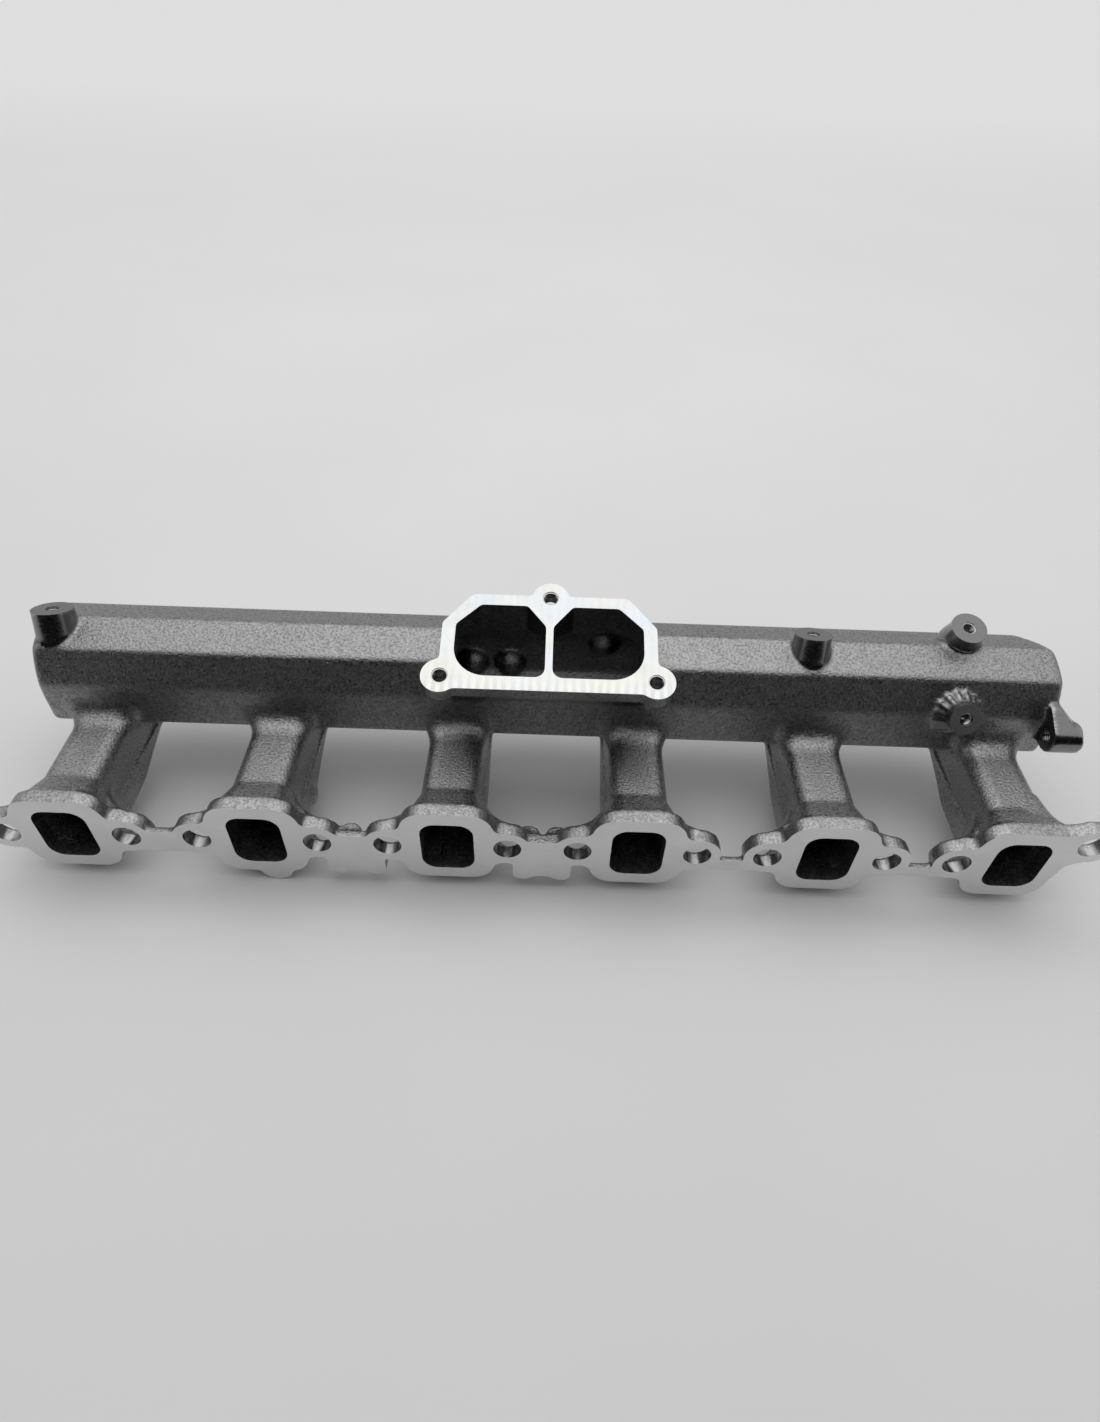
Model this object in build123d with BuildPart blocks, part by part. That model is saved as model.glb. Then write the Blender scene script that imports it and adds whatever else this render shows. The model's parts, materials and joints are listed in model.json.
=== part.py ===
"""Cast aluminium intake manifold of an in-line six, in millimetres.

The port flange face is the plane Y = 0 and looks along -Y, X runs along the
row of ports, Z is up and Z = 0 is the line of the flange bolts.
"""
import os
from math import cos, radians, sin, tan

from build123d import *

os.makedirs("parts", exist_ok=True)

# Port flange
PORTS = 6
PORT_PITCH = 112.0
PORT_W = 31.3
PORT_H = 40.8
PORT_R = 9.0
FLANGE_T = 9.0
BOLT_OFFSET = 35.3
BOLT_D = 16.5
LOBE_R = 14.0
HEAD_R = 11.0
ARCH_HALF_W = 24.0
ARCH_TOP = 29.5
ARCH_R = 14.0
SHOULDER_X = 28.0
SHOULDER_R = 6.0
END_LOBE_X = 36.0
END_LOBE_Z = 20.0
DRIP_R = 10.0
DRIP_DROP = 8.3
LINK_BOTTOM = -13.0
LINK_TOPS = (5.4, 7.2, 7.2, -4.1, -4.5)
LINK_THICK = (4.0, 4.5, 6.8, 4.0, 4.0)
LINK_HUMPS = ((), (-1.5,), (-8.5, 8.5), (), ())
HUMP_R = 7.0
TAB_HALF_W = 17.5
TAB_DROP = ARCH_TOP
SCALLOP_DEPTH = 3.5

# Plenum section, symmetric about Y = RIDGE_Y
WALL_T = 5.0
RIDGE_Y = 110.0
RIDGE_Z = 76.0
HALF_DEPTH = 33.0
EAVE_IN = 10.0
EAVE_Z = 68.6
WALL_TOP = 46.4
WALL_LOW = 18.1
KEEL_Z = -9.0
KEEL_HALF = 5.9
PLENUM_OVERHANG = 35.0
PLENUM_HALF_L = (PORTS - 1) / 2 * PORT_PITCH + PLENUM_OVERHANG
CAP_L = 26.0
FRONT_Y = RIDGE_Y - HALF_DEPTH

# Runners
RUN_W = 35.0
RUN_TOP = 25.0
RUN_LOW = -25.0
RUN_R = 9.0
RUN_WALL = 4.5
FOOT_END = 24.0
FOOT_STEP = 0.3
WING_END = FOOT_END + 12.0
WING_R = 6.0
WING_STEPS = ((1.0, FLANGE_T), (0.6, 14.0), (0.27, 22.0), (0.0, WING_END))
ROOT_START = 62.0
ROOT_LOW = WALL_LOW - 1.0

# Inlet flange, tilted with the front roof of the plenum
ROOF_TILT = 18.0
INLET_RISE = 15.0
INLET_T = 11.0
INLET_HALF_W = 64.5
INLET_LOW = -26.3
INLET_HIGH = 40.0
INLET_CHAMFER = 17.0
INLET_HOLE_X = 63.3
INLET_HOLE_V = -18.0
INLET_TOP_V = 38.5
INLET_LOBE_R = 11.2
TAP_M10_D = 8.5
WINDOW_IN = 2.2
WINDOW_OUT = 56.4
WINDOW_LOW = -17.3
WINDOW_HIGH = 32.4
WINDOW_CORNER = 14.5
NECK_INSET = 4.0

# Tapped bosses
TAP_M8_D = 6.8
BOSS_TAP_DEPTH = 8.0
EAR_TAP_DEPTH = 11.0


ON_BASE = (Align.CENTER, Align.CENTER, Align.MIN)


def port_x(index):
    """Centre of a port along the row."""
    return (index - (PORTS - 1) / 2) * PORT_PITCH


def y_plane(y):
    """Sketch plane at a given distance behind the flange face."""
    return Plane.XZ.offset(-y)


def rounded(y, x, width, low, high, radius):
    """Rounded rectangle standing across the runner at one station."""
    with BuildSketch(y_plane(y)) as station:
        with Locations((x, (low + high) / 2)):
            RectangleRounded(width, high - low, radius)
    return station.sketch.faces()[0]


# Plenum section as a closed run of corners
def plenum_corners(inset=0.0):
    """Corners of the plenum section, moved inward by a wall thickness."""
    half = HALF_DEPTH - inset
    low = WALL_LOW + 0.4 * inset
    eave = half - EAVE_IN + 0.12 * inset
    return [
        (RIDGE_Y - half, low),
        (RIDGE_Y - half, WALL_TOP - 0.2 * inset),
        (RIDGE_Y - eave, EAVE_Z - 0.85 * inset),
        (RIDGE_Y, RIDGE_Z - 1.05 * inset),
        (RIDGE_Y + eave, EAVE_Z - 0.85 * inset),
        (RIDGE_Y + half, WALL_TOP - 0.2 * inset),
        (RIDGE_Y + half, low),
        (RIDGE_Y + KEEL_HALF, KEEL_Z + inset),
        (RIDGE_Y - KEEL_HALF, KEEL_Z + inset),
    ]


def plenum_prism(x_from, x_to, inset=0.0):
    """Solid bar with the plenum section."""
    with BuildPart() as bar:
        with BuildSketch(Plane.YZ.offset(x_from)):
            with BuildLine():
                Polyline(*plenum_corners(inset), close=True)
            make_face()
        extrude(amount=x_to - x_from)
    return bar.part


PLENUM_SOLID = plenum_prism(-PLENUM_HALF_L, PLENUM_HALF_L)


def port_passage(index):
    """Air passage from the flange face into the plenum."""
    x = port_x(index)
    inner = RUN_W - 2 * RUN_WALL
    low = RUN_LOW + RUN_WALL
    high = RUN_TOP - RUN_WALL
    mouth = rounded(0, x, PORT_W, -PORT_H / 2, PORT_H / 2, PORT_R)
    stations = [
        rounded(FLANGE_T, x, PORT_W, -PORT_H / 2, PORT_H / 2, PORT_R),
        rounded(FOOT_END, x, inner, low, high, RUN_R - 1),
        rounded(ROOT_START, x, inner, low + 2, high, RUN_R - 1),
        rounded(RIDGE_Y - 5, x, inner, WALL_LOW - 12, high + 6, RUN_R - 1),
    ]
    with BuildPart() as passage:
        loft(sections=[mouth, stations[0]], ruled=True)
        loft(sections=stations, ruled=True)
    return passage.part


PASSAGES = [port_passage(i) for i in range(PORTS)]


def bolt_spots(index):
    """Bolt centres beside one port; the last pad has its right lobe raised."""
    if index == PORTS - 1:
        return [(-BOLT_OFFSET, 0), (END_LOBE_X, END_LOBE_Z)]
    return [(-BOLT_OFFSET, 0), (BOLT_OFFSET, 0)]


# Port pads: an arch round each port with a bolt lobe on either side
def pad_outline(index):
    """Half-symmetric outline of one pad, in flange coordinates."""
    right_end = index == PORTS - 1
    left = [
        (-ARCH_HALF_W, -ARCH_TOP),
        (-SHOULDER_X, -LOBE_R),
        (-BOLT_OFFSET, -LOBE_R),
        (-BOLT_OFFSET, LOBE_R),
        (-SHOULDER_X, LOBE_R),
        (-ARCH_HALF_W, ARCH_TOP),
    ]
    if right_end:
        right = [
            (ARCH_HALF_W - 4, ARCH_TOP),
            (END_LOBE_X, END_LOBE_Z + LOBE_R),
            (END_LOBE_X, END_LOBE_Z - LOBE_R),
            (SHOULDER_X, END_LOBE_Z - LOBE_R - 4),
            (ARCH_HALF_W, -LOBE_R),
            (ARCH_HALF_W, -ARCH_TOP),
        ]
    else:
        right = [(-px, pz) for px, pz in reversed(left)]
    return left + right


def port_pad(index):
    """One machined pad with its port and two bolt holes."""
    x = port_x(index)
    right_end = index == PORTS - 1
    bolts = bolt_spots(index)
    with BuildPart() as pad:
        with BuildSketch(y_plane(0)) as outline:
            with Locations((x, 0)):
                with BuildLine():
                    Polyline(*[(x + px, pz) for px, pz in pad_outline(index)], close=True)
                make_face()
            arch = [v for v in outline.vertices() if abs(abs(v.Y) - ARCH_TOP) < 0.1]
            if right_end:
                arch = [v for v in arch if v.X < x or v.Y < 0]
            fillet(arch, ARCH_R)
            inner = [v for v in outline.vertices() if abs(abs(v.X - x) - SHOULDER_X) < 0.1]
            fillet(inner, SHOULDER_R)
            for px, pz in bolts:
                with Locations((x + px, pz)):
                    Circle(LOBE_R)
            if index == 1:
                with Locations((x + ARCH_HALF_W / 4, DRIP_R - ARCH_TOP - DRIP_DROP)):
                    Circle(DRIP_R)
        extrude(amount=-FLANGE_T)
        with BuildSketch(y_plane(0)):
            for px, pz in bolts:
                with Locations((x + px, pz)):
                    Circle(BOLT_D / 2)
        extrude(amount=-FLANGE_T, mode=Mode.SUBTRACT)
        add(PASSAGES[index], mode=Mode.SUBTRACT)
    pad.part.label = f"port_pad_{index + 1}"
    return pad


PADS = [port_pad(i) for i in range(PORTS)]


# Link strips between the pads, two of them with a hanging tab
def link_strip(index):
    """Thin strip that joins one pad to the next."""
    middle = (port_x(index) + port_x(index + 1)) / 2
    reach = PORT_PITCH / 2 - BOLT_OFFSET
    with BuildPart() as link:
        with BuildSketch(y_plane(0)):
            with BuildLine():
                Polyline(
                    (middle - reach, LINK_BOTTOM),
                    (middle + reach, LINK_BOTTOM),
                    (middle + reach, LINK_TOPS[index]),
                    (middle - reach, LINK_TOPS[index]),
                    close=True,
                )
            make_face()
        extrude(amount=-LINK_THICK[index])
        if index in (1, 2):
            with BuildSketch(y_plane(0)) as tab:
                with Locations((middle, (LINK_BOTTOM - TAB_DROP) / 2)):
                    Rectangle(2 * TAB_HALF_W, TAB_DROP + LINK_BOTTOM)
                fillet(tab.vertices().group_by(Axis.Y)[0], 5)
                with Locations((middle, -TAB_DROP - 3 * SCALLOP_DEPTH)):
                    Circle(4 * SCALLOP_DEPTH, mode=Mode.SUBTRACT)
            extrude(amount=-FLANGE_T)
        for shift in LINK_HUMPS[index]:
            with Locations((middle + shift, LINK_THICK[index], LINK_BOTTOM)):
                Cylinder(HUMP_R, LINK_TOPS[index] - LINK_BOTTOM - 1, align=ON_BASE)
        split(bisect_by=y_plane(0), keep=Keep.BOTTOM)
        add(PADS[index].part, mode=Mode.SUBTRACT)
        add(PADS[index + 1].part, mode=Mode.SUBTRACT)
        for side in (-1, 1):
            with Locations(Pos(middle + side * reach, FLANGE_T / 2, 0) * Rot(90, 0, 0)):
                Cylinder(BOLT_D / 2, 2 * FLANGE_T, mode=Mode.SUBTRACT)
    link.part.label = f"link_strip_{index + 1}"
    return link


LINKS = [link_strip(i) for i in range(PORTS - 1)]


# Runners: flared foot, straight barrel and flared root
def wing_spots(index):
    """Tips of the webs beside one port, each with its rise at the tip and at the barrel."""
    spots = [(-BOLT_OFFSET, 0, 0), (BOLT_OFFSET, 0, 0)]
    if index == PORTS - 1:
        spots[1] = (END_LOBE_X - HEAD_R - 5, ARCH_TOP - LOBE_R, RUN_TOP - LOBE_R + 2)
    return spots


def wing(x, tip_x, tip_z, start_z):
    """Stations of the web that spreads from the barrel to a bolt lobe."""
    side = 1 if tip_x > 0 else -1
    half = RUN_W / 2
    stations = []
    for share, y in WING_STEPS:
        reach = half + share * (abs(tip_x) + 4 - half)
        rise = start_z + share * (tip_z - start_z)
        lobe = LOBE_R - 2 + 2 * share
        stations.append(rounded(y, x + side * reach / 2, reach, rise - lobe, rise + lobe, WING_R))
    return stations


def runner(index):
    """One runner from the back of its pad to the plenum."""
    x = port_x(index)
    foot = [
        rounded(FLANGE_T, x, 2 * ARCH_HALF_W - 1, FOOT_STEP - ARCH_TOP, ARCH_TOP - FOOT_STEP, ARCH_R - 0.5),
        rounded(FOOT_END, x, RUN_W, RUN_LOW, RUN_TOP, RUN_R),
    ]
    wings = [wing(x, *spot) for spot in wing_spots(index)]
    barrel = [
        foot[-1],
        rounded(ROOT_START, x, RUN_W, RUN_LOW + 2, RUN_TOP, RUN_R),
        rounded(FRONT_Y, x, RUN_W, RUN_LOW + 7, RUN_TOP, RUN_R),
    ]
    root = [
        rounded(ROOT_START, x, RUN_W, ROOT_LOW - 13, RUN_TOP, RUN_R),
        rounded(FRONT_Y - 6, x, RUN_W + 1.5, ROOT_LOW - 10, RUN_TOP + 2.5, RUN_R),
        rounded(FRONT_Y - 2, x, RUN_W + 6, ROOT_LOW - 4, RUN_TOP + 7, RUN_R),
        rounded(FRONT_Y, x, RUN_W + 12, ROOT_LOW, RUN_TOP + 13, RUN_R),
    ]
    under = [
        rounded(FRONT_Y, x, RUN_W, RUN_LOW + 7, WALL_LOW, RUN_R),
        rounded(RIDGE_Y, x, RUN_W, KEEL_Z, WALL_LOW, RUN_R),
    ]
    with BuildPart() as tube:
        for stations in (foot, *wings, barrel, root, under):
            loft(sections=stations, ruled=stations in (foot, barrel))
        add(PLENUM_SOLID, mode=Mode.SUBTRACT)
        for tip_x, tip_z in bolt_spots(index):
            with Locations(Pos(x + tip_x, 20 + FLANGE_T, tip_z) * Rot(90, 0, 0)):
                Cylinder(HEAD_R, 40, mode=Mode.SUBTRACT)
        add(PASSAGES[index], mode=Mode.SUBTRACT)
    tube.part.label = f"runner_{index + 1}"
    return tube


RUNNERS = [runner(i) for i in range(PORTS)]


# Inlet flange plane: leans forward with the front roof of the plenum
def inlet_frame():
    """Plane of the machined inlet face, looking out of the plenum."""
    lean = radians(ROOF_TILT)
    eave_y = RIDGE_Y - HALF_DEPTH + EAVE_IN
    origin = (0, eave_y - INLET_RISE * sin(lean), EAVE_Z + INLET_RISE * cos(lean))
    return Plane(origin=origin, x_dir=(1, 0, 0), z_dir=(0, -sin(lean), cos(lean)))


INLET = inlet_frame()


def window_corners(side):
    """Corners of one inlet window, left or right of the divider."""
    cut = WINDOW_CORNER
    corners = [
        (WINDOW_IN, WINDOW_LOW),
        (WINDOW_OUT, WINDOW_LOW),
        (WINDOW_OUT, WINDOW_HIGH - cut),
        (WINDOW_OUT - cut, WINDOW_HIGH),
        (WINDOW_IN + 0.8 * cut, WINDOW_HIGH),
        (WINDOW_IN, WINDOW_HIGH - cut),
    ]
    return [(side * px, py) for px, py in corners]


def window_sketch():
    """Both inlet windows with their rounded corners."""
    with BuildSketch(INLET) as windows:
        for side in (-1, 1):
            with BuildSketch(INLET, mode=Mode.PRIVATE) as one:
                with BuildLine():
                    Polyline(*window_corners(side), close=True)
                make_face()
                low = one.vertices().group_by(Axis.Y)[0]
                fillet(low.sort_by(Axis.X)[0 if side < 0 else -1], 19)
                low = one.vertices().group_by(Axis.Y)[0]
                fillet(low.sort_by(Axis.X)[-1 if side < 0 else 0], 6)
            add(one.sketch_local)
    return windows.sketch


def neck_profile(points, half):
    """Slab across the plenum with a given profile in the YZ plane."""
    with BuildPart() as slab:
        with BuildSketch(Plane.YZ.offset(-half)):
            with BuildLine():
                Polyline(*points, close=True)
            make_face()
        extrude(amount=2 * half)
    return slab.part


# Twin air passages under the windows, kept clear of the plenum's front wall
THROAT = [
    (FRONT_Y - 17, RIDGE_Z + 34),
    (FRONT_Y - 17, EAVE_Z + 1.4),
    (FRONT_Y - 7.7, EAVE_Z - 1.6),
    (FRONT_Y + 7, WALL_TOP + 1.6),
    (FRONT_Y + 7, WALL_TOP - 6.4),
    (RIDGE_Y + 30, WALL_TOP - 6.4),
    (RIDGE_Y + 30, RIDGE_Z + 34),
]
with BuildPart() as inlet_passages:
    extrude(window_sketch(), amount=-70)
    extrude(window_sketch(), amount=1)
    add(neck_profile(THROAT, WINDOW_OUT + 5), mode=Mode.INTERSECT)

# Plenum body: a plain tube with the runner and inlet mouths cut in it
with BuildPart() as plenum_body:
    add(plenum_prism(CAP_L - PLENUM_HALF_L, PLENUM_HALF_L - CAP_L))
    add(plenum_prism(CAP_L - PLENUM_HALF_L, PLENUM_HALF_L - CAP_L, WALL_T), mode=Mode.SUBTRACT)
    add(inlet_passages.part, mode=Mode.SUBTRACT)
    for passage_solid in PASSAGES:
        add(passage_solid, mode=Mode.SUBTRACT)

# Left end
with BuildPart() as end_left:
    add(plenum_prism(-PLENUM_HALF_L, CAP_L - PLENUM_HALF_L))
    fillet(end_left.faces().sort_by(Axis.X)[0].edges(), 4)

# Right end: its rear corner is bevelled
BEVEL_X = 20.0
with BuildPart() as end_right:
    add(plenum_prism(PLENUM_HALF_L - CAP_L, PLENUM_HALF_L))
    fillet(end_right.faces().sort_by(Axis.X)[-1].edges(), 4)
    with BuildSketch(Plane.XY.offset(KEEL_Z - 1)):
        with BuildLine():
            Polyline(
                (PLENUM_HALF_L + 1, RIDGE_Y - 4),
                (PLENUM_HALF_L + 1, RIDGE_Y + HALF_DEPTH + 2),
                (PLENUM_HALF_L - BEVEL_X, RIDGE_Y + HALF_DEPTH + 2),
                close=True,
            )
        make_face()
    extrude(amount=RIDGE_Z - KEEL_Z + 2, mode=Mode.SUBTRACT)


# Inlet flange and the neck under it
def inlet_outline(inset=0.0):
    """Corners of the inlet plate without its bolt lobes."""
    half = INLET_HALF_W - inset
    high = INLET_HIGH - inset
    low = INLET_LOW + inset
    cut = INLET_CHAMFER
    return [
        (-half, low),
        (half, low),
        (half, high - 1.25 * cut),
        (half - cut, high),
        (cut - half, high),
        (-half, high - 1.25 * cut),
    ]


INLET_HOLES = [
    (-INLET_HOLE_X, INLET_HOLE_V),
    (INLET_HOLE_X, INLET_HOLE_V),
    (0, INLET_TOP_V),
]
with BuildPart() as inlet_flange:
    with BuildSketch(INLET) as plate:
        with BuildLine():
            Polyline(*inlet_outline(), close=True)
        make_face()
        fillet(plate.vertices().group_by(Axis.Y)[-1], 6)
        for spot in INLET_HOLES:
            with Locations(spot):
                Circle(INLET_LOBE_R)
    extrude(amount=-INLET_T)
    extrude(window_sketch(), amount=-INLET_T, mode=Mode.SUBTRACT)
    with BuildSketch(INLET):
        with Locations(*INLET_HOLES):
            Circle(TAP_M10_D / 2)
    extrude(amount=-INLET_T, mode=Mode.SUBTRACT)
    add(PLENUM_SOLID, mode=Mode.SUBTRACT)

NECK_BACK = INLET.offset(-INLET_T)
NECK_FRONT = NECK_BACK.from_local_coords((0, INLET_LOW + NECK_INSET + 0.3, 0))
NECK = [
    (NECK_FRONT.Y, NECK_FRONT.Z + 1),
    (FRONT_Y, WALL_TOP),
    (RIDGE_Y + 25, WALL_TOP),
    (RIDGE_Y + 25, RIDGE_Z + 34),
    (NECK_FRONT.Y, RIDGE_Z + 34),
]
with BuildPart() as inlet_neck:
    with BuildSketch(NECK_BACK):
        with BuildLine():
            Polyline(*inlet_outline(NECK_INSET), close=True)
        make_face()
    extrude(amount=-60)
    add(neck_profile(NECK, INLET_HALF_W), mode=Mode.INTERSECT)
    add(PLENUM_SOLID, mode=Mode.SUBTRACT)
    add(inlet_passages.part, mode=Mode.SUBTRACT)


# Tapped bosses that stand on the plenum
def tapped_boss(face, head_r, head_l, base_r, length):
    """Round boss under a face plane, tapped from the face and flared towards its base."""
    with BuildPart() as boss:
        with BuildSketch(face):
            Circle(head_r)
        extrude(amount=-length)
        with BuildSketch(face.offset(-head_l)):
            Circle(head_r)
        with BuildSketch(face.offset(-length)):
            Circle(base_r)
        loft()
        with BuildSketch(face):
            Circle(TAP_M8_D / 2)
        extrude(amount=-BOSS_TAP_DEPTH, mode=Mode.SUBTRACT)
        add(PLENUM_SOLID, mode=Mode.SUBTRACT)
    return boss


def rear_face(x, y):
    """Plane of a boss face that is milled parallel to the rear roof."""
    tilt = radians(ROOF_TILT)
    z = RIDGE_Z + (RIDGE_Y - y) * tan(tilt) + REAR_LIFT / cos(tilt)
    return Plane((x, y, z), (1, 0, 0), (0, sin(tilt), cos(tilt)))


ROOF_NORMAL = INLET.z_dir
REAR_LIFT = 6.6
LUG = rear_face(12.6 - PLENUM_HALF_L, RIDGE_Y - 4.5)
MID_BOSS = rear_face(port_x(4) - 7, RIDGE_Y - 3.5)
CHAMFER_NORMAL = Vector(0, WALL_TOP - EAVE_Z, EAVE_IN).normalized()
TOP_BOSS = Plane((port_x(5) - 23.4, RIDGE_Y + 2.3, RIDGE_Z + 12.4), (8, 1, 0), ROOF_NORMAL)
FRONT_BOSS = Plane((port_x(5) - 28.5, FRONT_Y - 11.3, WALL_TOP + 9.1), (1, 0, 0), CHAMFER_NORMAL)
left_lug = tapped_boss(LUG, 12.0, 5, 12.5, 26)
mid_boss = tapped_boss(MID_BOSS, 11.3, 5, 12.0, 26)
top_boss = tapped_boss(TOP_BOSS, 10.8, 6, 13.0, 17)
front_boss = tapped_boss(FRONT_BOSS, 9.8, 7, 16.0, 19)

# Ear on the right end, tapped along the row
EAR_X = PLENUM_HALF_L - 8.0
EAR_Y = FRONT_Y - 8.3
EAR_Z = WALL_TOP - 5.6
EAR_R = 10.0
EAR_L = 18.0
EAR_ROOT = 6.0
EAR_GUSSET = 6.0
with BuildPart() as right_ear:
    with BuildSketch(Plane.YZ.offset(EAR_X)):
        with Locations((EAR_Y, EAR_Z)):
            Circle(EAR_R)
        with Locations((FRONT_Y + EAR_ROOT / 2, EAR_Z + EAR_GUSSET / 2)):
            Rectangle(EAR_ROOT, 2 * EAR_R + EAR_GUSSET)
        make_hull()
    extrude(amount=EAR_L)
    with BuildSketch(y_plane(EAR_Y - 2 * EAR_R)):
        with BuildLine():
            Polyline(
                (EAR_X + EAR_ROOT, EAR_Z + EAR_R + EAR_GUSSET),
                (EAR_X + 2 * EAR_L, EAR_Z + EAR_R + EAR_GUSSET),
                (EAR_X + EAR_L, EAR_Z + EAR_R / 2),
                close=True,
            )
        make_face()
    extrude(amount=-6 * EAR_R, mode=Mode.SUBTRACT)
    add(end_right.part, mode=Mode.SUBTRACT)
    with Locations(Pos(EAR_X, EAR_Y, EAR_Z) * Rot(0, 90, 0)):
        Cylinder(TAP_M8_D / 2, 2 * EAR_TAP_DEPTH, mode=Mode.SUBTRACT)

# Round bosses on the inner rear wall, seen through the inlet windows
INNER_BOSS_R = 10.0
INNER_BOSS_SPOTS = ((-51, 27), (-26, 27), (36, WALL_TOP))
INNER_SPAN = 70.0
with BuildPart() as inner_bosses:
    for boss_x, boss_z in INNER_BOSS_SPOTS:
        with Locations((boss_x, RIDGE_Y + HALF_DEPTH - WALL_T, boss_z)):
            Sphere(INNER_BOSS_R)
    add(plenum_prism(-INNER_SPAN, INNER_SPAN, WALL_T), mode=Mode.INTERSECT)

# Cast stub low on the inner side of the second runner
with BuildPart() as runner_stub:
    with Locations(Pos(port_x(1) + RUN_W / 2, 50, RUN_LOW + 9) * Rot(0, 90, 0)):
        Cylinder(6, 8)
    add(RUNNERS[1].part, mode=Mode.SUBTRACT)
    add(PASSAGES[1], mode=Mode.SUBTRACT)

NAMED = {
    "plenum_body": plenum_body,
    "end_left": end_left,
    "end_right": end_right,
    "inlet_flange": inlet_flange,
    "inlet_neck": inlet_neck,
    "left_lug": left_lug,
    "mid_boss": mid_boss,
    "top_boss": top_boss,
    "front_boss": front_boss,
    "right_ear": right_ear,
    "inner_bosses": inner_bosses,
    "runner_stub": runner_stub,
}
for label, built in NAMED.items():
    built.part.label = label
for built in PADS + LINKS + RUNNERS + list(NAMED.values()):
    export_step(built.part, f"parts/{built.part.label}.step")
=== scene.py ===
"""Cast aluminium intake manifold: the looks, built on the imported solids.

The solids are poured into one blank with some metal to spare, softened like a
sand casting, and then faced, drilled and tapped. The finished skin is parted
again along the solids, so that each piece stands for its own node.
"""
import json
import math

import bmesh
import bpy
import numpy as np
from mathutils import Matrix, Vector
from mathutils.bvhtree import BVHTree


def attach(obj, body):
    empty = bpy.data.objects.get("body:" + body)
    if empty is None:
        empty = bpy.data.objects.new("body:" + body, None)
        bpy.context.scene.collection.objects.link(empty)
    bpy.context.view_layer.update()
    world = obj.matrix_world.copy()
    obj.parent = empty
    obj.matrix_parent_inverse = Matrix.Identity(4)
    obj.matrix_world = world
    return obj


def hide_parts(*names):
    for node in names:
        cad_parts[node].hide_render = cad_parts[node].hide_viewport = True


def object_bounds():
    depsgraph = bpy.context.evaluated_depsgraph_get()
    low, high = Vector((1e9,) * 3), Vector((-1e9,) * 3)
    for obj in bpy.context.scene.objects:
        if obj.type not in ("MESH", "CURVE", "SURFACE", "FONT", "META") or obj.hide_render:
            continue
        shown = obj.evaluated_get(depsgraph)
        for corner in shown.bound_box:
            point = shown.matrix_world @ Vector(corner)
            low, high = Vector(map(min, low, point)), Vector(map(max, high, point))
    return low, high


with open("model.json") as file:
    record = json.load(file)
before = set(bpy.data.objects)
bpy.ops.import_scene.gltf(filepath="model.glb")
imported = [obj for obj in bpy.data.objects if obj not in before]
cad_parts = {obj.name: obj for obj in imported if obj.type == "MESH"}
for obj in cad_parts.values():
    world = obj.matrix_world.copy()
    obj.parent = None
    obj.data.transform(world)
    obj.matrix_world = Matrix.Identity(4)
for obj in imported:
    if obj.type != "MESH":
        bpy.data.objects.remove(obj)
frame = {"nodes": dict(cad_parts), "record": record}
cad_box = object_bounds()
NODES = frame["nodes"]
MOUNTS = {mount["name"]: mount for mount in frame["record"]["mounts"]}

# Sizes in metres
MM = 0.001
VOXEL = 1.0 * MM
SOFTEN = 8
KEEP = 0.35
SPARE = 4.0 * MM
PORT_Y = 0.0
SHARP_ANGLE = math.radians(38)
SMOOTH_FACTOR = 0.5
THREADS = {"inlet": (4.25 * MM, 5.0 * MM, 1.5 * MM), "boss": (3.4 * MM, 4.0 * MM, 1.25 * MM)}
BOSS_TAPS = {"mid_tap": 11.3 * MM, "top_tap": 10.8 * MM, "front_tap": 9.8 * MM, "lug_tap": 12.0 * MM}
SPOT_OVER = 2 * MM
PORT_MILL = (0.01, 0.02, 0.09)
INLET_MILL = ((-0.09, -0.02, 0), (0.09, 0.09, 0.02))
FLANGE_HOLE = (-12 * MM, 4 * MM)
END_HOLE = (-8 * MM, 8 * MM)
HOLE_SEGMENTS = 64
INLET_TAP_OVER = 2
TAP_LEAD = 2 * MM
TAP_SEGMENTS = 40
COLLAR_RIBS = 14
COLLAR_RIB_R = 1.6 * MM
COLLAR_TOP = (9.3 * MM, -6.0 * MM)
COLLAR_FOOT = (15.2 * MM, -17.5 * MM)
SKIRT_X = (15.0 * MM, 19.7 * MM)
SKIRT_SIDE = np.array([(26, -20), (62, -19), (77, -14), (104, -7), (104, -3.5), (26, -3.5)]) * MM
PAD_6_SHIFT = 35.3 * MM
CHATTER_Z = (72 * MM, 78 * MM)
LONG_EDGES = np.array([(87.0, 68.6), (133.0, 68.6), (77.0, 46.4), (143.0, 46.4), (110.0, 76.0)]) * MM
LONG_EDGE_ROUNDS = 36
LONG_EDGE_REACH = 7.0 * MM
LONG_EDGE_WEIGHTS = (0.33, 0.66, 1.0)
EAR_R = 10.0 * MM
EAR_L = 17.5 * MM
EAR_TAP = (Vector((307.0, 68.7, 40.8)) * MM, Vector((-1, 0, 0)), 11.0 * MM)
PORTS = 6

# Limits that tell the finishes apart
SQUARE = 0.999
FLAT = 0.05 * MM
HOLE_WALL = 0.05 * MM
TAP_WALL = 0.1 * MM
TAP_REACH = 16 * MM
SPOT_R = 14 * MM
WEAR_FROM = 60
WEAR_SPAN = 320
WEAR_SPREADS = 2

# Camera of the photograph
CAMERA_AT = Vector((-0.2, -300.6, 408.8)) * MM
CAMERA_PITCH = math.radians(44.35)
CAMERA_YAW = math.radians(0.302)
CAMERA_ROLL = math.radians(2.169)
IMAGE_H = 1422
FOCAL_PX = 850
SENSOR = 36.0


def mount_at(name):
    """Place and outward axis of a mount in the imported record."""
    mount = MOUNTS[name]
    return Vector(mount["pos_m"]), Vector(mount["axis"]).normalized()


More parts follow.
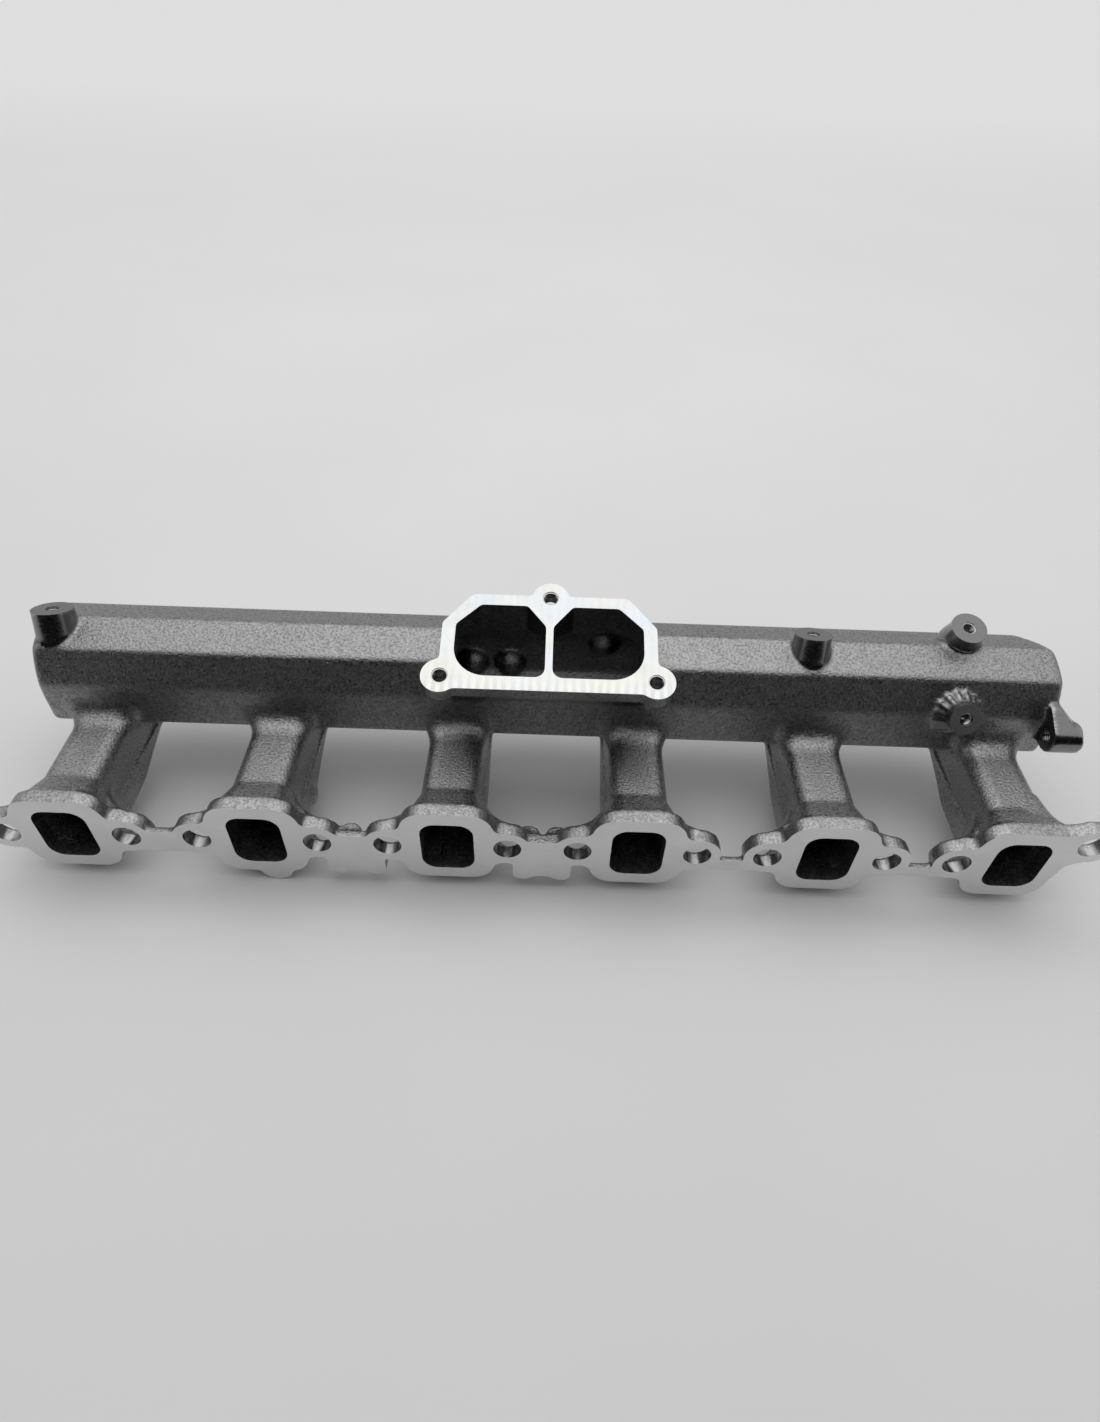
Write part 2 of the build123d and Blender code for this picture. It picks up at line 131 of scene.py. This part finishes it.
INLET_AT, INLET_AXIS = mount_at("inlet_face")


def read(collection, name, width, kind):
    """Reads one property of all items as an array."""
    values = np.empty(len(collection) * width, kind)
    collection.foreach_get(name, values)
    return values.reshape(-1, width) if width > 1 else values


def new_object(name, mesh):
    """Links a mesh into the scene as an object at the origin."""
    made = bpy.data.objects.new(name, mesh)
    bpy.context.scene.collection.objects.link(made)
    return made


def applied(obj, name):
    """Mesh of an object with its modifiers, as a new object; the old one goes."""
    graph = bpy.context.evaluated_depsgraph_get()
    mesh = bpy.data.meshes.new_from_object(obj.evaluated_get(graph))
    bpy.data.objects.remove(obj)
    return new_object(name, mesh)


def facing(at, axis):
    """Frame with its origin at a point and its Z along an axis."""
    return Matrix.Translation(at) @ axis.to_track_quat("Z", "Y").to_matrix().to_4x4()


# Casting
def add_node(bm, node, shift=Vector()):
    """Copies a node's mesh into a bmesh, moved by a shift."""
    first = len(bm.verts)
    bm.from_mesh(node.data)
    bm.verts.ensure_lookup_table()
    bmesh.ops.translate(bm, verts=bm.verts[first:], vec=shift)


def add_rod(bm, place, radius, low, high, segments=48):
    """Adds a closed round rod along a frame's Z between two heights."""
    middle = place @ Matrix.Translation((0, 0, (low + high) / 2))
    bmesh.ops.create_cone(
        bm,
        cap_ends=True,
        segments=segments,
        radius1=radius,
        radius2=radius,
        depth=high - low,
        matrix=middle,
    )


def add_box(bm, place, low, high):
    """Adds a closed box given by two corners in a frame."""
    size = [h - l for l, h in zip(low, high)]
    middle = [(h + l) / 2 for l, h in zip(low, high)]
    shape = place @ Matrix.Translation(middle) @ Matrix.Diagonal((*size, 1))
    bmesh.ops.create_cube(bm, size=1, matrix=shape)


def add_collar(bm, place):
    """Adds the ribs that run down the flared foot of the front boss."""
    for step in range(COLLAR_RIBS):
        turn = 2 * math.pi * step / COLLAR_RIBS
        ends = []
        for radius, height in (COLLAR_TOP, COLLAR_FOOT):
            ends.append(place @ Vector((radius * math.cos(turn), radius * math.sin(turn), height)))
        along = ends[1] - ends[0]
        add_rod(bm, facing(ends[0], along.normalized()), COLLAR_RIB_R, 0, along.length, 12)


def add_slab(bm, outline, low_x, high_x):
    """Adds a closed slab with a given side outline between two places along the row."""
    sides = []
    for x in (low_x, high_x):
        sides.append([bm.verts.new((x, y, z)) for y, z in outline])
    bm.faces.new(sides[0][::-1])
    bm.faces.new(sides[1])
    for step in range(len(outline)):
        before = step - 1
        bm.faces.new((sides[0][before], sides[0][step], sides[1][step], sides[1][before]))


def add_skirts(bm):
    """Adds the wider lower half of each runner, which leaves a ledge at the parting line."""
    for number in range(1, PORTS + 1):
        mount = MOUNTS.get(f"pad_{number}_bolts", MOUNTS["pad_6_left_bolt"])
        middle = mount["pos_m"][0] + (PAD_6_SHIFT if number == PORTS else 0)
        for near, far in ((-SKIRT_X[1], -SKIRT_X[0]), SKIRT_X):
            add_slab(bm, SKIRT_SIDE, middle + near, middle + far)


def pour_blank():
    """All nodes in one mesh, with spare metal in front of each machined face."""
    bm = bmesh.new()
    for name, node in NODES.items():
        add_node(bm, node)
        if name.startswith(("port_pad", "link_strip")):
            add_node(bm, node, Vector((0, -1, 0)) * SPARE)
    add_node(bm, NODES["inlet_flange"], INLET_AXIS * SPARE)
    for tap, radius in BOSS_TAPS.items():
        at, axis = mount_at(tap)
        add_rod(bm, facing(at, axis), radius, -SPARE, SPARE)
    add_collar(bm, facing(*mount_at("front_tap")))
    add_skirts(bm)
    at, axis, _ = EAR_TAP
    add_rod(bm, facing(at, axis), EAR_R, -EAR_L, 0)
    bmesh.ops.remove_doubles(bm, verts=bm.verts, dist=1e-6)
    mesh = bpy.data.meshes.new("blank")
    bm.to_mesh(mesh)
    bm.free()
    return new_object("blank", mesh)


def long_edges(skin):
    """Vertex group of the long edges of the plenum, which are rounder than the rest."""
    points = read(skin.data.vertices, "co", 3, np.float32)[:, 1:]
    away = np.min([np.linalg.norm(points - edge, axis=1) for edge in LONG_EDGES], axis=0)
    group = skin.vertex_groups.new(name="long_edges")
    for weight in LONG_EDGE_WEIGHTS:
        near = np.flatnonzero(away < LONG_EDGE_REACH * (1.5 - weight))
        group.add(near.tolist(), weight, "REPLACE")
    return group


def cast(blank):
    """Melts the blank into one skin with softened edges and fillets."""
    melt = blank.modifiers.new("melt", "REMESH")
    melt.mode = "VOXEL"
    melt.voxel_size = VOXEL * 1.0
    skin = applied(blank, "melted")
    soft = skin.modifiers.new("soften", "SMOOTH")
    soft.factor = SMOOTH_FACTOR
    soft.iterations = SOFTEN
    soft = skin.modifiers.new("round", "SMOOTH")
    soft.factor = SMOOTH_FACTOR
    soft.iterations = LONG_EDGE_ROUNDS
    soft.vertex_group = long_edges(skin).name
    lean = skin.modifiers.new("lean", "DECIMATE")
    lean.ratio = KEEP
    return applied(skin, "casting")


# Machining
def add_tap(bm, place, depth, thread):
    """Adds a threaded cutter that goes down into a tapped hole."""
    minor, major, pitch = thread
    turns = int(depth / pitch)
    profile = [(0, TAP_LEAD), (major, TAP_LEAD), (major, -0.4 * pitch)]
    for turn in range(turns):
        start = -pitch * (turn + 0.5)
        profile += [(minor, start), (minor, start - 0.15 * pitch), (major, start - 0.5 * pitch)]
    profile += [(minor, -pitch * (turns + 0.5)), (0, -pitch * (turns + 0.5) - minor / 2)]
    rings = []
    for radius, z in profile:
        if radius == 0:
            rings.append([bm.verts.new(place @ Vector((0, 0, z)))])
            continue
        ring = []
        for step in range(TAP_SEGMENTS):
            turn = 2 * math.pi * step / TAP_SEGMENTS
            spot = Vector((radius * math.cos(turn), radius * math.sin(turn), z))
            ring.append(bm.verts.new(place @ spot))
        rings.append(ring)
    for upper, lower in zip(rings, rings[1:]):
        for step in range(TAP_SEGMENTS):
            after = (step + 1) % TAP_SEGMENTS
            if len(upper) == 1:
                bm.faces.new((upper[0], lower[step], lower[after]))
            elif len(lower) == 1:
                bm.faces.new((upper[step], lower[0], upper[after]))
            else:
                bm.faces.new((upper[step], lower[step], lower[after], upper[after]))


def cut(skin, bm, name):
    """Takes a cutter away from the skin."""
    bmesh.ops.recalc_face_normals(bm, faces=bm.faces)
    mesh = bpy.data.meshes.new("cutter")
    bm.to_mesh(mesh)
    bm.free()
    cutter = new_object("cutter", mesh)
    take = skin.modifiers.new("take", "BOOLEAN")
    take.operation = "DIFFERENCE"
    take.solver = "MANIFOLD"
    take.object = cutter
    made = applied(skin, name)
    bpy.data.objects.remove(cutter)
    return made


def face_off(skin):
    """Mills the port face, the inlet face and the boss tops flat."""
    bm = bmesh.new()
    low, high = cad_box
    over, thick, tall = PORT_MILL
    near = (low.x - over, PORT_Y - thick, low.z - over)
    add_box(bm, Matrix(), near, (high.x + over, PORT_Y, low.z + tall))
    add_box(bm, facing(INLET_AT, INLET_AXIS), *INLET_MILL)
    for tap, radius in BOSS_TAPS.items():
        at, axis = mount_at(tap)
        add_rod(bm, facing(at, axis), radius + SPOT_OVER, 0, 3 * SPARE)
    return cut(skin, bm, "faced")


def drill(skin):
    """Drills the bolt holes and taps the screw holes."""
    bm = bmesh.new()
    for name, mount in MOUNTS.items():
        at, axis = mount_at(name)
        dims = mount["dims"]
        if mount["kind"] == "bolt_pattern":
            half = Vector((dims["spacing_x_mm"] / 2 * MM, 0, 0))
            for hole in (at - half, at + half):
                add_rod(bm, facing(hole, axis), dims["hole_r_mm"] * MM, *FLANGE_HOLE, HOLE_SEGMENTS)
        elif mount["kind"] == "bore":
            add_rod(bm, facing(at, axis), dims["r_mm"] * MM, *END_HOLE, HOLE_SEGMENTS)
        elif mount["kind"] == "threaded_hole":
            inlet = name.startswith("inlet")
            top = at + axis * (dims["length_mm"] / 2 * MM if inlet else 0)
            depth = (dims["length_mm"] + (INLET_TAP_OVER if inlet else 0)) * MM
            add_tap(bm, facing(top, axis), depth, THREADS["inlet" if inlet else "boss"])
    at, axis, depth = EAR_TAP
    add_tap(bm, facing(at, axis), depth, THREADS["boss"])
    return cut(skin, bm, "machined")


skin = drill(face_off(cast(pour_blank())))


# Materials
def grey(value, warm=0.0):
    """Neutral colour with a little warmth."""
    return (value * (1 + warm), value, value * (1 - warm), 1.0)


class Nodes:
    """Small helper that adds and links shader nodes of one material."""

    def __init__(self, name):
        self.material = bpy.data.materials.new(name)
        self.material.use_nodes = True
        self.tree = self.material.node_tree
        self.shader = self.tree.nodes["Principled BSDF"]
        self.place = self.tree.nodes.new("ShaderNodeTexCoord").outputs["Object"]

    def add(self, kind, inputs=None, **values):
        """Adds a node, sets its properties and links or sets its inputs."""
        node = self.tree.nodes.new("ShaderNode" + kind)
        for key, value in values.items():
            setattr(node, key, value)
        for key, value in (inputs or {}).items():
            self.give(node.inputs[key], value)
        return node

    def give(self, socket, value):
        """Links a socket, or sets it to a plain value."""
        if isinstance(value, bpy.types.NodeSocket):
            self.tree.links.new(value, socket)
        else:
            socket.default_value = value

    def noise(self, scale, detail=3.0, rough=0.55, at=None):
        """Noise over the surface, about 1 / scale metres a patch."""
        inputs = {"Vector": at or self.place, "Scale": scale, "Detail": detail, "Roughness": rough}
        return self.add("TexNoise", inputs).outputs["Fac"]

    def ramp(self, value, *stops):
        """Colour ramp over a value."""
        node = self.add("ValToRGB", {"Fac": value})
        band = node.color_ramp
        while len(band.elements) < len(stops):
            band.elements.new(0.5)
        for element, (spot, level) in zip(band.elements, stops):
            element.position = spot
            element.color = grey(level) if isinstance(level, float) else level
        return node.outputs["Color"]

    def mix(self, share, first, second, blend="MIX"):
        """Mixes two colours."""
        node = self.add("Mix", data_type="RGBA", blend_type=blend)
        self.give(node.inputs[0], share)
        self.give(node.inputs[6], first)
        self.give(node.inputs[7], second)
        return node.outputs[2]

    def bump(self, height, distance, strength=1.0, normal=None):
        """Bump from a height."""
        inputs = {"Height": height, "Distance": distance, "Strength": strength}
        if normal is not None:
            inputs["Normal"] = normal
        return self.add("Bump", inputs).outputs["Normal"]


def cast_metal(name, light, rough, contrast, grain_depth):
    """Sand-cast aluminium: grain, soft mottling and bright worn edges."""
    n = Nodes(name)
    grain = n.noise(1500, 2.0, 0.6)
    pits = n.noise(720, 2.0, 0.6)
    cloud = n.noise(24, 4.0, 0.6)
    base = n.ramp(cloud, (0.3, 0.88 * light), (0.7, 1.12 * light))
    low, high = (1 - contrast) * light, (1 + contrast) * light
    base = n.mix(0.6, base, n.ramp(pits, (0.36, low), (0.64, high)))
    edge = n.add("Attribute", attribute_name="edge_wear").outputs["Fac"]
    base = n.mix(edge, base, grey(1.5 * light))
    n.give(n.shader.inputs["Base Color"], base)
    n.give(n.shader.inputs["Roughness"], n.ramp(pits, (0.3, rough - 0.06), (0.7, rough + 0.06)))
    n.shader.inputs["Metallic"].default_value = 1.0
    wavy = n.bump(cloud, 0.4 * MM, 0.4)
    wavy = n.bump(pits, 2.0 * grain_depth, 0.9, wavy)
    n.give(n.shader.inputs["Normal"], n.bump(grain, grain_depth, 0.9, wavy))
    return n.material


def rim_metal():
    """Fettled rims of the pads, streaked across their thickness."""
    n = Nodes("rim_aluminium")
    across = n.add("Mapping", {"Vector": n.place, "Scale": (1.0, 0.25, 1.0)}).outputs["Vector"]
    streaks = n.noise(620, 3.0, 0.65, across)
    flecks = n.noise(760, 2.0, 0.6)
    base = n.ramp(streaks, (0.3, 0.22), (0.7, 0.44))
    base = n.mix(0.6, base, n.ramp(flecks, (0.36, 0.16), (0.66, 0.52)))
    n.give(n.shader.inputs["Base Color"], base)
    n.give(n.shader.inputs["Roughness"], n.ramp(streaks, (0.3, 0.28), (0.7, 0.42)))
    n.shader.inputs["Metallic"].default_value = 1.0
    wavy = n.bump(streaks, 0.16 * MM, 0.8)
    n.give(n.shader.inputs["Normal"], n.bump(flecks, 0.2 * MM, 0.8, wavy))
    return n.material


def port_metal_painted_light():
    """Satin milled face of the port flange, its colour set lighter than the milled metal as painted
    light for the light on the front face.
    """
    n = Nodes("port_face_aluminium_painted_light")
    stretch = n.add("Mapping", {"Vector": n.place, "Scale": (14.0, 1.0, 260.0)}).outputs["Vector"]
    lines = n.noise(9, 3.0, 0.6, stretch)
    cloud = n.noise(40, 3.0, 0.5)
    # Milled tone plus painted light: both ramps are set lighter than the metal to stand in for the
    # brighter light on the front face.
    base = n.ramp(cloud, (0.3, 0.68), (0.7, 0.77))
    base = n.mix(0.4, base, n.ramp(lines, (0.3, 0.65), (0.7, 0.79)))
    n.give(n.shader.inputs["Base Color"], base)
    n.give(n.shader.inputs["Roughness"], n.ramp(lines, (0.3, 0.36), (0.7, 0.46)))
    n.shader.inputs["Metallic"].default_value = 1.0
    n.give(n.shader.inputs["Normal"], n.bump(lines, 0.03 * MM, 0.5))
    return n.material


def inlet_metal():
    """Bright milled inlet face with the chatter of the cutter."""
    n = Nodes("inlet_face_aluminium")
    rings = n.add(
        "TexWave",
        {"Vector": n.place, "Scale": 62.0, "Distortion": 2.2, "Detail": 2.0, "Detail Scale": 1.2},
        wave_type="BANDS",
        bands_direction="X",
    ).outputs["Fac"]
    cloud = n.noise(60, 4.0, 0.65)
    cool, warm = (0.48, 0.53, 0.58, 1), (0.57, 0.56, 0.48, 1)
    tint = n.ramp(n.noise(34, 2.0, 0.5), (0.35, cool), (0.65, warm))
    base = n.mix(0.5, n.ramp(cloud, (0.3, 0.4), (0.7, 0.62)), tint)
    height = n.add("SeparateXYZ", {"Vector": n.place}).outputs["Z"]
    fade = {"From Min": CHATTER_Z[1], "From Max": CHATTER_Z[0], "To Min": 0.05, "To Max": 0.5}
    lower = n.add("MapRange", {"Value": height, **fade}).outputs["Result"]
    base = n.mix(lower, base, n.ramp(rings, (0.25, 0.34), (0.75, 0.62)))
    n.give(n.shader.inputs["Base Color"], base)
    n.give(n.shader.inputs["Roughness"], n.ramp(cloud, (0.3, 0.18), (0.7, 0.34)))
    n.shader.inputs["Metallic"].default_value = 1.0
    n.give(n.shader.inputs["Normal"], n.bump(cloud, 0.04 * MM, 0.5))
    return n.material


def bore_metal(name, light, rough):
    """Drilled and tapped walls, or spot-faced boss tops."""
    n = Nodes(name)
    fine = n.noise(500, 3.0, 0.6)
    n.give(n.shader.inputs["Base Color"], n.ramp(fine, (0.3, 0.85 * light), (0.7, 1.15 * light)))
    n.give(n.shader.inputs["Roughness"], n.ramp(fine, (0.3, rough - 0.06), (0.7, rough + 0.06)))
    n.shader.inputs["Metallic"].default_value = 1.0
    n.give(n.shader.inputs["Normal"], n.bump(fine, 0.02 * MM, 0.4))
    return n.material


FINISHES = [
    cast_metal("cast_aluminium", 0.27, 0.31, 0.55, 0.24 * MM),
    cast_metal("smooth_cast_aluminium", 0.22, 0.22, 0.15, 0.012 * MM),
    rim_metal(),
    port_metal_painted_light(),
    inlet_metal(),
    bore_metal("drilled_aluminium", 0.36, 0.22),
    bore_metal("spot_faced_aluminium", 0.24, 0.6),
]
CAST, SMOOTH, RIM, PORT, INLET, BORE, SPOT = range(len(FINISHES))
SMOOTH_NODES = ("left_lug", "mid_boss", "top_boss", "front_boss", "right_ear")
RIM_NODES = ("port_pad",)


# Parting the skin along the nodes
def mark_sharp(mesh):
    """Marks the edges that the cutters left."""
    bm = bmesh.new()
    bm.from_mesh(mesh)
    for face in bm.faces:
        face.smooth = True
    for edge in bm.edges:
        edge.smooth = not (edge.is_manifold and edge.calc_face_angle(0.0) > SHARP_ANGLE)
    bm.to_mesh(mesh)
    bm.free()


def edge_wear(mesh, points):
    """How convex the skin is at each point, from 0 to 1."""
    edges = read(mesh.edges, "vertices", 2, np.int32)
    normals = read(mesh.vertex_normals, "vector", 3, np.float32)
    along = points[edges[:, 1]] - points[edges[:, 0]]
    length = np.linalg.norm(along, axis=1) + 1e-9
    bend = np.einsum("ij,ij->i", normals[edges[:, 1]] - normals[edges[:, 0]], along) / length**2
    total = np.zeros(len(points))
    count = np.zeros(len(points)) + 1e-9
    for side in (0, 1):
        np.add.at(total, edges[:, side], bend)
        np.add.at(count, edges[:, side], 1)
    curve = total / count
    for _ in range(WEAR_SPREADS):
        spread = np.zeros(len(points))
        for side in (0, 1):
            np.add.at(spread, edges[:, side], curve[edges[:, 1 - side]])
        curve = 0.5 * curve + 0.5 * spread / count
    return np.clip((curve - WEAR_FROM) / WEAR_SPAN, 0, 1).astype(np.float32)


def finish_of(centres, normals, owner):
    """Which finish each triangle has, by its node and the face it lies on."""
    names = sorted(NODES)
    by_node = np.full(len(names), CAST, np.int32)
    for number, name in enumerate(names):
        if name in SMOOTH_NODES:
            by_node[number] = SMOOTH
        elif name.startswith(RIM_NODES):
            by_node[number] = RIM
    finish = by_node[owner]
    for name, mount in MOUNTS.items():
        at, axis = (np.array(v) for v in mount_at(name))
        away = centres - at
        height = away @ axis
        square = normals @ axis > SQUARE
        if mount["kind"] == "flat_face":
            kind = PORT if name == "port_face" else INLET
            finish[square & (np.abs(height) < FLAT)] = kind
        elif mount["kind"] in ("bolt_pattern", "bore"):
            shift = mount["dims"].get("spacing_x_mm", 0) / 2 * MM
            reach = mount["dims"].get("hole_r_mm", mount["dims"].get("r_mm")) * MM + HOLE_WALL
            for side in (-1, 1):
                across = np.linalg.norm((away - (side * shift, 0, 0))[:, (0, 2)], axis=1)
                finish[(across < reach) & (finish == RIM)] = BORE
        elif mount["kind"] == "threaded_hole":
            inlet = name.startswith("inlet")
            across = np.linalg.norm(away - np.outer(height, axis), axis=1)
            reach = THREADS["inlet" if inlet else "boss"][1] + TAP_WALL
            finish[(across < reach) & (np.abs(height) < TAP_REACH)] = BORE
            if not inlet:
                ring = (across < SPOT_R) & (across > reach)
                finish[square & (np.abs(height) < FLAT) & ring] = SPOT
    return finish


def part_out(skin):
    """Splits the skin into one piece for each node."""
    mesh = skin.data
    mark_sharp(mesh)
    mesh.calc_loop_triangles()
    points = read(mesh.vertices, "co", 3, np.float32)
    corners = read(mesh.loop_triangles, "vertices", 3, np.int32)
    loops = read(mesh.loop_triangles, "loops", 3, np.int32)
    loop_normals = read(mesh.corner_normals, "vector", 3, np.float32)
    worn = edge_wear(mesh, points)
    centres = points[corners].mean(axis=1)
    first = points[corners[:, 0]]
    normals = np.cross(points[corners[:, 1]] - first, points[corners[:, 2]] - first)
    normals /= np.linalg.norm(normals, axis=1, keepdims=True) + 1e-12
    owner = owners(centres)
    finish = finish_of(centres, normals, owner)
    for index, name in enumerate(sorted(NODES)):
        mine = np.flatnonzero(owner == index)
        used, local = np.unique(corners[mine], return_inverse=True)
        piece = piece_mesh(name + "_skin", points[used], local.reshape(-1, 3))
        piece.polygons.foreach_set("material_index", finish[mine])
        wear = piece.attributes.new("edge_wear", "FLOAT", "POINT")
        wear.data.foreach_set("value", worn[used])
        for material in FINISHES:
            piece.materials.append(material)
        piece.normals_split_custom_set(loop_normals[loops[mine]].reshape(-1, 3).tolist())
        made = new_object(name + "_skin", piece)
        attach(made, "root")
        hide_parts(name)
    bpy.data.objects.remove(skin)


def owners(centres):
    """Index of the node nearest to each triangle."""
    points, faces, index = [], [], []
    for number, name in enumerate(sorted(NODES)):
        mesh = NODES[name].data
        first = len(points)
        points += [v.co.copy() for v in mesh.vertices]
        for face in mesh.polygons:
            faces.append([first + v for v in face.vertices])
            index.append(number)
    tree = BVHTree.FromPolygons(points, faces)
    return np.array([index[tree.find_nearest(c)[2]] for c in centres.tolist()])


def piece_mesh(name, points, triangles):
    """Mesh of triangles, all smooth."""
    mesh = bpy.data.meshes.new(name)
    mesh.vertices.add(len(points))
    mesh.vertices.foreach_set("co", points.ravel())
    mesh.loops.add(3 * len(triangles))
    mesh.loops.foreach_set("vertex_index", triangles.ravel().astype(np.int32))
    mesh.polygons.add(len(triangles))
    mesh.polygons.foreach_set("loop_start", np.arange(0, 3 * len(triangles), 3, dtype=np.int32))
    mesh.polygons.foreach_set("use_smooth", np.ones(len(triangles), bool))
    mesh.update(calc_edges=True)
    return mesh


part_out(skin)


# Stage: the floor, a lamp overhead, a tent and a dark card at its open front
FLOOR_HALF = 6.0
FLOOR_FRONT = -0.32
FLOOR_GAP = 0.5 * MM
FLOOR_FADE = (0.5, 3.0)
LIGHT_AT, LIGHT_TO = (0, 0.35, 1.3), (0, 0.08, 0)
LIGHT_SIZE = (1.8, 1.1)
LIGHT_WATTS = 5.5
TENT_Z = (0.0, 0.7)
HORIZON_Z = (-0.01, 0.0)
TENT = (0.3, 0.88)
BELOW = 0.36
FLAG_HALF = 1.6
FLAG_YZ = ((-0.34, -0.04), (-1.2, 1.6))


def floor_material():
    """Plain pale floor with a faint unevenness."""
    n = Nodes("pale_floor")
    near = n.ramp(n.noise(3, 2.0), (0.3, 0.71), (0.7, 0.74))
    depth = n.add("SeparateXYZ", {"Vector": n.place}).outputs["Y"]
    start, end = (edge - FLOOR_HALF for edge in FLOOR_FADE)
    far = n.add("MapRange", {"Value": depth, "From Min": start, "From Max": end}).outputs["Result"]
    n.give(n.shader.inputs["Base Color"], n.mix(far, near, grey(0.95)))
    n.shader.inputs["Roughness"].default_value = 0.6
    return n.material


def make_floor():
    """Large floor just under the lowest point of the part."""
    mesh = bpy.data.meshes.new("floor")
    bm = bmesh.new()
    bmesh.ops.create_grid(bm, x_segments=1, y_segments=1, size=FLOOR_HALF)
    bm.to_mesh(mesh)
    bm.free()
    floor = new_object("floor", mesh)
    floor.location = (0, FLOOR_FRONT + FLOOR_HALF, cad_box[0].z - FLOOR_GAP)
    mesh.materials.append(floor_material())


def area_light(name, at, target, size, power):
    """Soft rectangular light that looks at a point."""
    lamp = bpy.data.lights.new(name, "AREA")
    lamp.shape = "RECTANGLE"
    lamp.size, lamp.size_y = size
    lamp.energy = power
    made = bpy.data.objects.new(name, lamp)
    made.location = at
    made.rotation_euler = (Vector(target) - Vector(at)).to_track_quat("-Z", "Y").to_euler()
    bpy.context.scene.collection.objects.link(made)


def span(tree, value, given, wanted):
    """Maps a value smoothly from one span to another."""
    node = tree.nodes.new("ShaderNodeMapRange")
    node.interpolation_type = "SMOOTHSTEP"
    node.inputs["From Min"].default_value, node.inputs["From Max"].default_value = given
    node.inputs["To Min"].default_value, node.inputs["To Max"].default_value = wanted
    tree.links.new(value, node.inputs["Value"])
    return node.outputs[0]


def make_flag():
    """Dark card at the open front of the tent; only reflections show it."""
    low, high = FLAG_YZ
    mesh = bpy.data.meshes.new("flag")
    corners = [(side * FLAG_HALF, *edge) for side, edge in ((-1, low), (1, low), (1, high), (-1, high))]
    mesh.from_pydata(corners, [], [(0, 1, 2, 3)])
    n = Nodes("dark_card")
    n.shader.inputs["Base Color"].default_value = grey(0.012)
    n.shader.inputs["Roughness"].default_value = 0.9
    n.shader.inputs["Specular IOR Level"].default_value = 0.0
    mesh.materials.append(n.material)
    flag = new_object("flag", mesh)
    flag.visible_camera = False


def make_world():
    """Light tent: grey at the horizon, brightest overhead and pale below, like more floor."""
    world = bpy.data.worlds.new("tent")
    world.use_nodes = True
    tree = world.node_tree
    tree.nodes.clear()
    out = tree.nodes.new("ShaderNodeOutputWorld")
    direction = tree.nodes.new("ShaderNodeTexCoord").outputs["Generated"]
    parts = tree.nodes.new("ShaderNodeSeparateXYZ")
    tree.links.new(direction, parts.inputs[0])
    level = tree.nodes.new("ShaderNodeMath")
    level.operation = "ADD"
    tree.links.new(span(tree, parts.outputs["Z"], TENT_Z, TENT), level.inputs[0])
    tree.links.new(span(tree, parts.outputs["Z"], HORIZON_Z, (BELOW, 0.0)), level.inputs[1])
    tent = tree.nodes.new("ShaderNodeBackground")
    tent.inputs["Strength"].default_value = 1.0
    tree.links.new(level.outputs[0], tent.inputs["Color"])
    tree.links.new(tent.outputs[0], out.inputs["Surface"])
    bpy.context.scene.world = world


def make_camera():
    """Camera at the photograph's place."""
    lens = bpy.data.cameras.new("camera")
    lens.sensor_width = SENSOR
    lens.lens = FOCAL_PX / IMAGE_H * SENSOR
    lens.clip_start = 0.01
    camera = bpy.data.objects.new("camera", lens)
    turn = Matrix.Rotation(-CAMERA_YAW, 4, "Z") @ Matrix.Rotation(math.pi / 2 - CAMERA_PITCH, 4, "X")
    turn = turn @ Matrix.Rotation(CAMERA_ROLL, 4, "Z")
    camera.matrix_world = Matrix.Translation(CAMERA_AT) @ turn
    bpy.context.scene.collection.objects.link(camera)
    bpy.context.scene.camera = camera


make_floor()
area_light("top_light", LIGHT_AT, LIGHT_TO, LIGHT_SIZE, LIGHT_WATTS)
make_flag()
make_world()
make_camera()
bpy.context.scene.view_settings.view_transform = "Standard"
